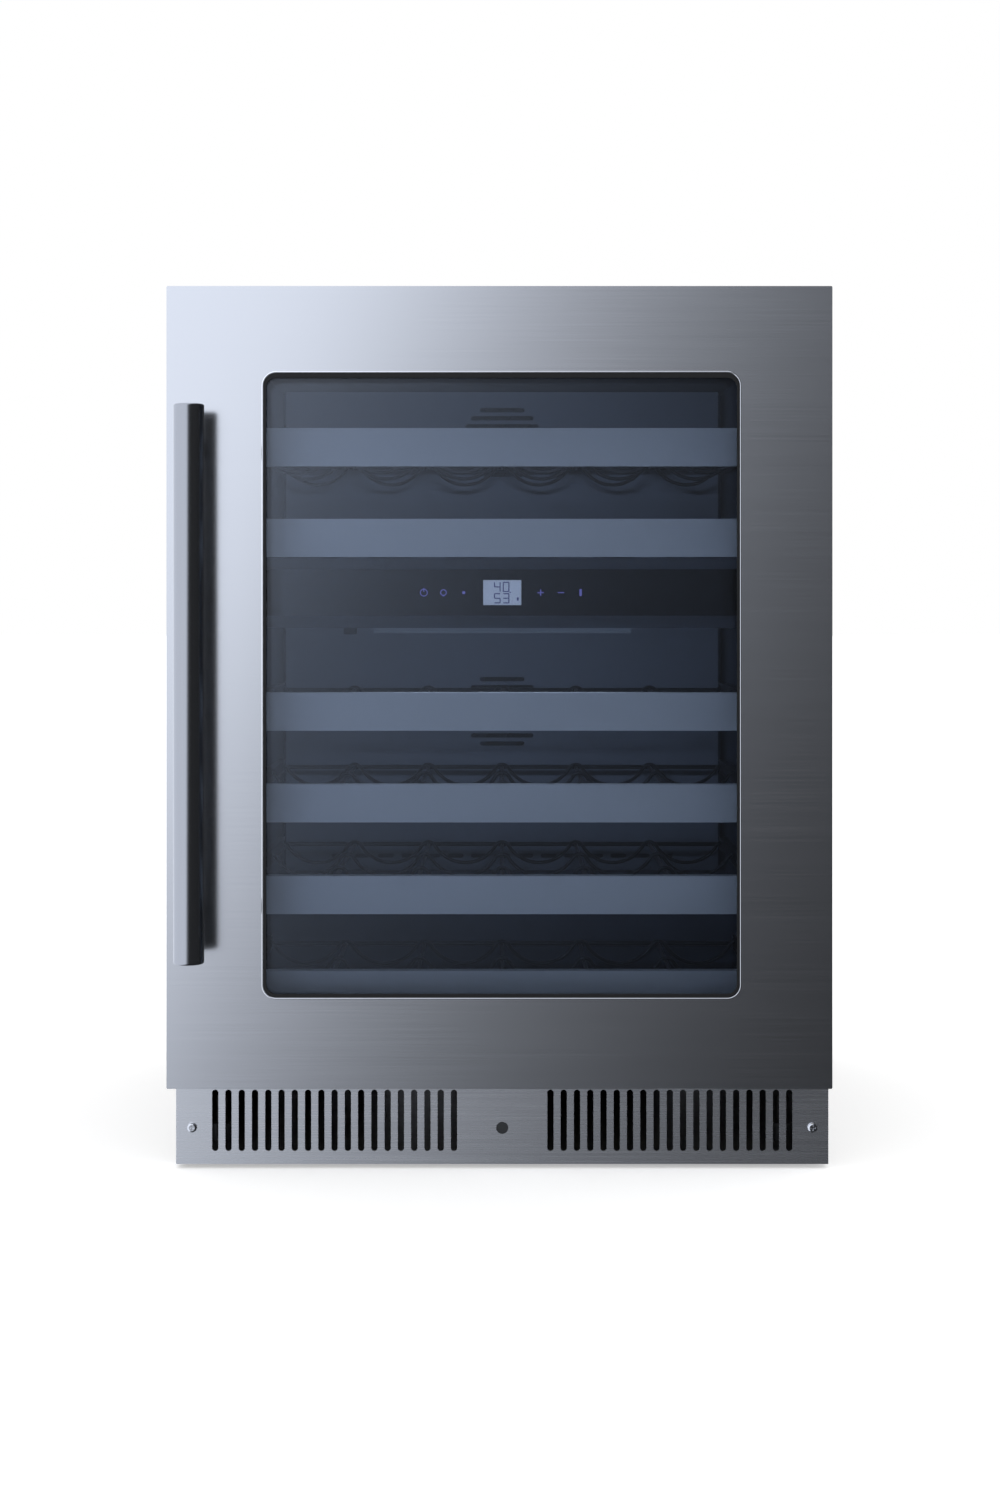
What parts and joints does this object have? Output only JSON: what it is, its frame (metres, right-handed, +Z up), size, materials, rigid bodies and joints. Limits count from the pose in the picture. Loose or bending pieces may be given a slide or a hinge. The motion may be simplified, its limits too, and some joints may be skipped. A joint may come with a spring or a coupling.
{
  "type": "wine cooler",
  "caption": "Built-in wine cooler with a stainless framed glass door, bar handle, two temperature zones, pull-out racks, centre control panel and a slotted, lockable kick plate",
  "frame": {"origin": "on the floor, under the middle of the whole object", "axes": "+X to the right seen from the front, +Y to the back, +Z up"},
  "size_m": [0.6008, 0.6345, 0.8014],
  "materials": {
    "stainless": "fine horizontal brushing",
    "black_sheet": "satin black powder coat",
    "galvanised": "dull zinc grey",
    "foam": "cut poured foam",
    "liner_plastic": "dark moulded plastic",
    "black_gloss": "black gloss",
    "board": "green circuit board",
    "diffuser": "milky light cover",
    "aluminium": "bare mill finish",
    "black_metal": "black coating",
    "rubber": "soft black",
    "copper": "drawn copper",
    "chrome": "bright plating",
    "glass": "blue-grey tint"
  },
  "bodies": {
    "cabinet": {"side_panels": "black_sheet", "top_panel": "black_sheet", "rear_panel": "black_sheet", "base_pan": "galvanised", "insulation": "foam", "inner_liner": "liner_plastic", "duct_panels": "liner_plastic", "zone_divider": "liner_plastic", "control_fascia": "black_gloss", "display": "black_gloss", "control_board": "board", "light_strips": "diffuser", "air_sensors": "black_gloss", "evaporators": "aluminium", "fan_frames": "liner_plastic", "compressor": "black_metal", "compressor_grommets": "rubber", "condenser": "galvanised", "refrigerant_lines": "copper", "drip_tray": "liner_plastic", "mains_inlet": "liner_plastic", "kick_plate": "stainless", "cabinet_screws": "chrome", "lock_housing": "chrome", "hinge_brackets": "black_sheet", "hinge_pins": "chrome", "wall_rails": "black_metal"},
    "door": {"door_skin": "stainless", "door_core": "foam", "outer_glass": "glass", "inner_glass": "glass", "glass_spacer": "aluminium", "window_bead": "black_gloss", "door_inner_frame": "liner_plastic", "door_gasket": "rubber", "handle_bar": "stainless", "handle_posts": "stainless", "edge_plugs": "black_gloss", "hinge_bushes": "copper"},
    "rack_1": {"rack_1_front": "stainless", "rack_1_frame": "black_metal"},
    "rack_2": {"rack_2_front": "stainless", "rack_2_frame": "black_metal"},
    "rack_3": {"rack_3_front": "stainless", "rack_3_frame": "black_metal"},
    "rack_4": {"rack_4_front": "stainless", "rack_4_frame": "black_metal"},
    "rack_5": {"rack_5_front": "stainless", "rack_5_frame": "black_metal"},
    "rack_6": {"rack_6_front": "stainless", "rack_6_frame": "black_metal"},
    "lock_barrel": {"lock_barrel": "chrome"},
    "lock_bolt": {"lock_bolt": "chrome"},
    "foot_front_left": {"foot_front_left": "rubber"},
    "foot_front_right": {"foot_front_right": "rubber"},
    "foot_rear_left": {"foot_rear_left": "rubber"},
    "foot_rear_right": {"foot_rear_right": "rubber"},
    "upper_fan": {"upper_fan": "liner_plastic"},
    "lower_fan": {"lower_fan": "liner_plastic"},
    "condenser_fan": {"condenser_fan": "liner_plastic"}
  },
  "joints": [
    {"name": "door_hinge", "type": "hinge", "parent": "cabinet", "child": "door", "pos_m": [0.28755, -0.22875, 0.078], "axis": [0, 0, 1], "range_deg": [0, 115]},
    {"name": "rack_1_slide", "type": "slide", "parent": "cabinet", "child": "rack_1", "axis": [0, -1, 0], "range_m": [0, 0.123]},
    {"name": "rack_2_slide", "type": "slide", "parent": "cabinet", "child": "rack_2", "axis": [0, -1, 0], "range_m": [0, 0.123]},
    {"name": "rack_3_slide", "type": "slide", "parent": "cabinet", "child": "rack_3", "axis": [0, -1, 0], "range_m": [0, 0.123]},
    {"name": "rack_4_slide", "type": "slide", "parent": "cabinet", "child": "rack_4", "axis": [0, -1, 0], "range_m": [0, 0.123]},
    {"name": "rack_5_slide", "type": "slide", "parent": "cabinet", "child": "rack_5", "axis": [0, -1, 0], "range_m": [0, 0.123]},
    {"name": "rack_6_slide", "type": "slide", "parent": "cabinet", "child": "rack_6", "axis": [0, -1, 0], "range_m": [0, 0.123]},
    {"name": "lock_turn", "type": "hinge", "parent": "cabinet", "child": "lock_barrel", "pos_m": [0.00205, -0.22555, 0.037], "axis": [0, -1, 0], "range_deg": [0, 90]},
    {"name": "bolt_lift", "type": "slide", "parent": "cabinet", "child": "lock_bolt", "axis": [0, 0, 1], "range_m": [0, 0.0101]},
    {"name": "foot_front_left_screw", "type": "slide", "parent": "cabinet", "child": "foot_front_left", "axis": [0, 0, -1], "range_m": [0, 0.02]},
    {"name": "foot_front_right_screw", "type": "slide", "parent": "cabinet", "child": "foot_front_right", "axis": [0, 0, -1], "range_m": [0, 0.02]},
    {"name": "foot_rear_left_screw", "type": "slide", "parent": "cabinet", "child": "foot_rear_left", "axis": [0, 0, -1], "range_m": [0, 0.02]},
    {"name": "foot_rear_right_screw", "type": "slide", "parent": "cabinet", "child": "foot_rear_right", "axis": [0, 0, -1], "range_m": [0, 0.02]},
    {"name": "upper_fan_spin", "type": "hinge", "parent": "cabinet", "child": "upper_fan", "pos_m": [0.00205, 0.23775, 0.6948], "axis": [0, 1, 0], "continuous": true},
    {"name": "lower_fan_spin", "type": "hinge", "parent": "cabinet", "child": "lower_fan", "pos_m": [0.00205, 0.23775, 0.39395], "axis": [0, 1, 0], "continuous": true},
    {"name": "condenser_fan_spin", "type": "hinge", "parent": "cabinet", "child": "condenser_fan", "pos_m": [-0.145, 0.22225, 0.0795], "axis": [1, 0, 0], "continuous": true}
  ],
  "couplings": [
    {"joint": "rack_1_slide", "follows": "door_hinge", "m_per_rad": 0.061},
    {"joint": "rack_2_slide", "follows": "door_hinge", "m_per_rad": 0.061},
    {"joint": "rack_3_slide", "follows": "door_hinge", "m_per_rad": 0.061},
    {"joint": "rack_4_slide", "follows": "door_hinge", "m_per_rad": 0.061},
    {"joint": "rack_5_slide", "follows": "door_hinge", "m_per_rad": 0.061},
    {"joint": "rack_6_slide", "follows": "door_hinge", "m_per_rad": 0.061},
    {"joint": "bolt_lift", "follows": "lock_turn", "m_per_rad": 0.0063}
  ]
}
